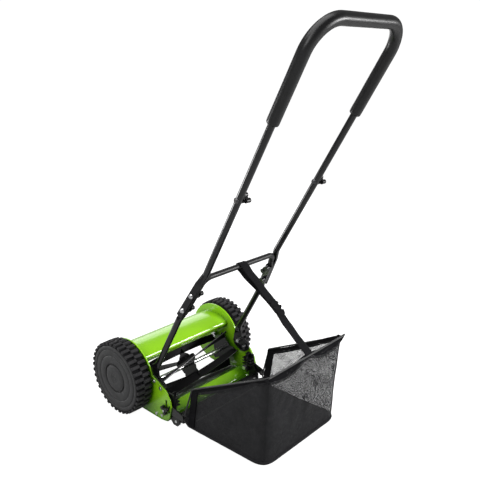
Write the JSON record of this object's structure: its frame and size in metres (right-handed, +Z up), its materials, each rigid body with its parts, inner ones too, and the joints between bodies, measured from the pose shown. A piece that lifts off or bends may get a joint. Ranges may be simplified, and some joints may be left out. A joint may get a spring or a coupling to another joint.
{
  "type": "reel mower",
  "caption": "Push reel mower with green steel frame, helical blades geared from lugged wheels, U-handle with foam grip, rear roller and a mesh grass bag.",
  "frame": {"origin": "centre of the base of the whole object's box, on the ground", "axes": "+Z up, +Y forward in the direction of mowing, +X to the operator's right along the wheel axles"},
  "size_m": [0.435, 0.7016, 0.9986],
  "materials": {
    "green_paint": "gloss",
    "knife_steel": "ground steel",
    "zinc_steel": "bright zinc",
    "blackened_steel": "blackened",
    "bearing_plastic": "moulded",
    "black_paint": "semi gloss powder coat",
    "blade_steel": "black with ground edges",
    "foam": "closed-cell foam",
    "black_plastic": "moulded",
    "wheel_plastic": "moulded, light satin",
    "tyre": "moulded tread",
    "wire": "black coated wire",
    "floor_fabric": "coated canvas",
    "mesh_fabric": "open mesh",
    "webbing": "woven webbing"
  },
  "bodies": {
    "chassis": {"side_plate_left": "green_paint", "side_plate_right": "green_paint", "top_cover": "green_paint", "bed_bar": "green_paint", "bed_knife": "knife_steel", "knife_screws": "zinc_steel", "cover_screws": "zinc_steel", "axle_left": "zinc_steel", "axle_right": "zinc_steel", "reel_bearing_left": "bearing_plastic", "reel_bearing_right": "bearing_plastic", "lower_leg_left": "black_paint", "lower_leg_right": "black_paint", "leg_bolts": "zinc_steel", "cross_brace": "black_paint", "mid_tube_left": "black_paint", "mid_tube_right": "black_paint", "upper_handle": "black_paint", "foam_grip": "foam", "brace_bolts": "zinc_steel", "upper_bolts": "blackened_steel", "bag_hook_left": "black_paint", "bag_hook_right": "black_paint", "bag_strap": "webbing"},
    "wheel_left_body": {"wheel_left": "wheel_plastic", "tyre_left": "tyre", "ring_gear_left": "black_plastic", "wheel_bush_left": "zinc_steel", "hub_cap_left": "wheel_plastic"},
    "wheel_right_body": {"wheel_right": "wheel_plastic", "tyre_right": "tyre", "ring_gear_right": "black_plastic", "wheel_bush_right": "zinc_steel", "hub_cap_right": "wheel_plastic"},
    "reel_body": {"reel_shaft": "zinc_steel", "reel_spiders": "black_paint", "reel_blades": "blade_steel", "pinion_left": "zinc_steel", "shaft_clips": "zinc_steel"},
    "pinion_right_body": {"pinion_right": "zinc_steel"},
    "height_carrier": {"height_bracket_left": "black_plastic", "height_bracket_right": "black_plastic", "roller_shaft": "zinc_steel", "height_bolts": "zinc_steel"},
    "roller_body": {"roller": "black_plastic"},
    "bag_body": {"bag_frame": "wire", "bag_floor": "floor_fabric", "bag_side_left": "mesh_fabric", "bag_side_right": "mesh_fabric", "bag_rear": "mesh_fabric"},
    "brace_wing_left_low_body": {"brace_wing_left_low": "black_plastic"},
    "brace_wing_left_high_body": {"brace_wing_left_high": "black_plastic"},
    "upper_knob_left_body": {"upper_knob_left": "black_plastic"},
    "height_knob_left_body": {"height_knob_left": "black_plastic"},
    "brace_wing_right_low_body": {"brace_wing_right_low": "black_plastic"},
    "brace_wing_right_high_body": {"brace_wing_right_high": "black_plastic"},
    "upper_knob_right_body": {"upper_knob_right": "black_plastic"},
    "height_knob_right_body": {"height_knob_right": "black_plastic"}
  },
  "joints": [
    {"name": "wheel_left_spin", "type": "hinge", "parent": "chassis", "child": "wheel_left_body", "pos_m": [-0.19, 0.24875, 0.102], "axis": [1, 0, 0], "continuous": true},
    {"name": "wheel_right_spin", "type": "hinge", "parent": "chassis", "child": "wheel_right_body", "pos_m": [0.19, 0.24875, 0.102], "axis": [1, 0, 0], "continuous": true},
    {"name": "reel_spin", "type": "hinge", "parent": "chassis", "child": "reel_body", "pos_m": [0, 0.19875, 0.07463], "axis": [1, 0, 0], "continuous": true},
    {"name": "pinion_right_spin", "type": "hinge", "parent": "chassis", "child": "pinion_right_body", "pos_m": [0.18, 0.19875, 0.07463], "axis": [1, 0, 0], "continuous": true},
    {"name": "height_adjust", "type": "slide", "parent": "chassis", "child": "height_carrier", "axis": [0, 0, 1], "range_m": [-0.008, 0.024]},
    {"name": "roller_spin", "type": "hinge", "parent": "height_carrier", "child": "roller_body", "pos_m": [0, 0.07675, 0.015], "axis": [1, 0, 0], "continuous": true},
    {"name": "bag_lift", "type": "hinge", "parent": "chassis", "child": "bag_body", "pos_m": [0, 0.04875, 0.04], "axis": [-1, 0, 0], "range_deg": [0, 35], "deforming": ["bag_strap"]},
    {"name": "brace_wing_left_low_turn", "type": "hinge", "parent": "chassis", "child": "brace_wing_left_low_body", "pos_m": [-0.14818, 0.03492, 0.34047], "axis": [-0.9848, -0.0869, 0.1505], "continuous": true},
    {"name": "brace_wing_left_high_turn", "type": "hinge", "parent": "chassis", "child": "brace_wing_left_high_body", "pos_m": [-0.13983, 0.01128, 0.3814], "axis": [-0.9848, -0.0869, 0.1505], "continuous": true},
    {"name": "upper_knob_left_turn", "type": "hinge", "parent": "chassis", "child": "upper_knob_left_body", "pos_m": [-0.13539, -0.13525, 0.6352], "axis": [1, 0, 0], "continuous": true},
    {"name": "height_knob_left_turn", "type": "hinge", "parent": "height_carrier", "child": "height_knob_left_body", "pos_m": [-0.168, 0.10175, 0.046], "axis": [1, 0, 0], "continuous": true},
    {"name": "brace_wing_right_low_turn", "type": "hinge", "parent": "chassis", "child": "brace_wing_right_low_body", "pos_m": [0.14818, 0.03492, 0.34047], "axis": [0.9848, -0.0869, 0.1505], "continuous": true},
    {"name": "brace_wing_right_high_turn", "type": "hinge", "parent": "chassis", "child": "brace_wing_right_high_body", "pos_m": [0.13983, 0.01128, 0.3814], "axis": [0.9848, -0.0869, 0.1505], "continuous": true},
    {"name": "upper_knob_right_turn", "type": "hinge", "parent": "chassis", "child": "upper_knob_right_body", "pos_m": [0.13539, -0.13525, 0.6352], "axis": [1, 0, 0], "continuous": true},
    {"name": "height_knob_right_turn", "type": "hinge", "parent": "height_carrier", "child": "height_knob_right_body", "pos_m": [0.168, 0.10175, 0.046], "axis": [1, 0, 0], "continuous": true}
  ],
  "couplings": [
    {"joint": "reel_spin", "follows": "wheel_left_spin", "ratio": 5.3846},
    {"joint": "pinion_right_spin", "follows": "wheel_right_spin", "ratio": 5.3846}
  ]
}
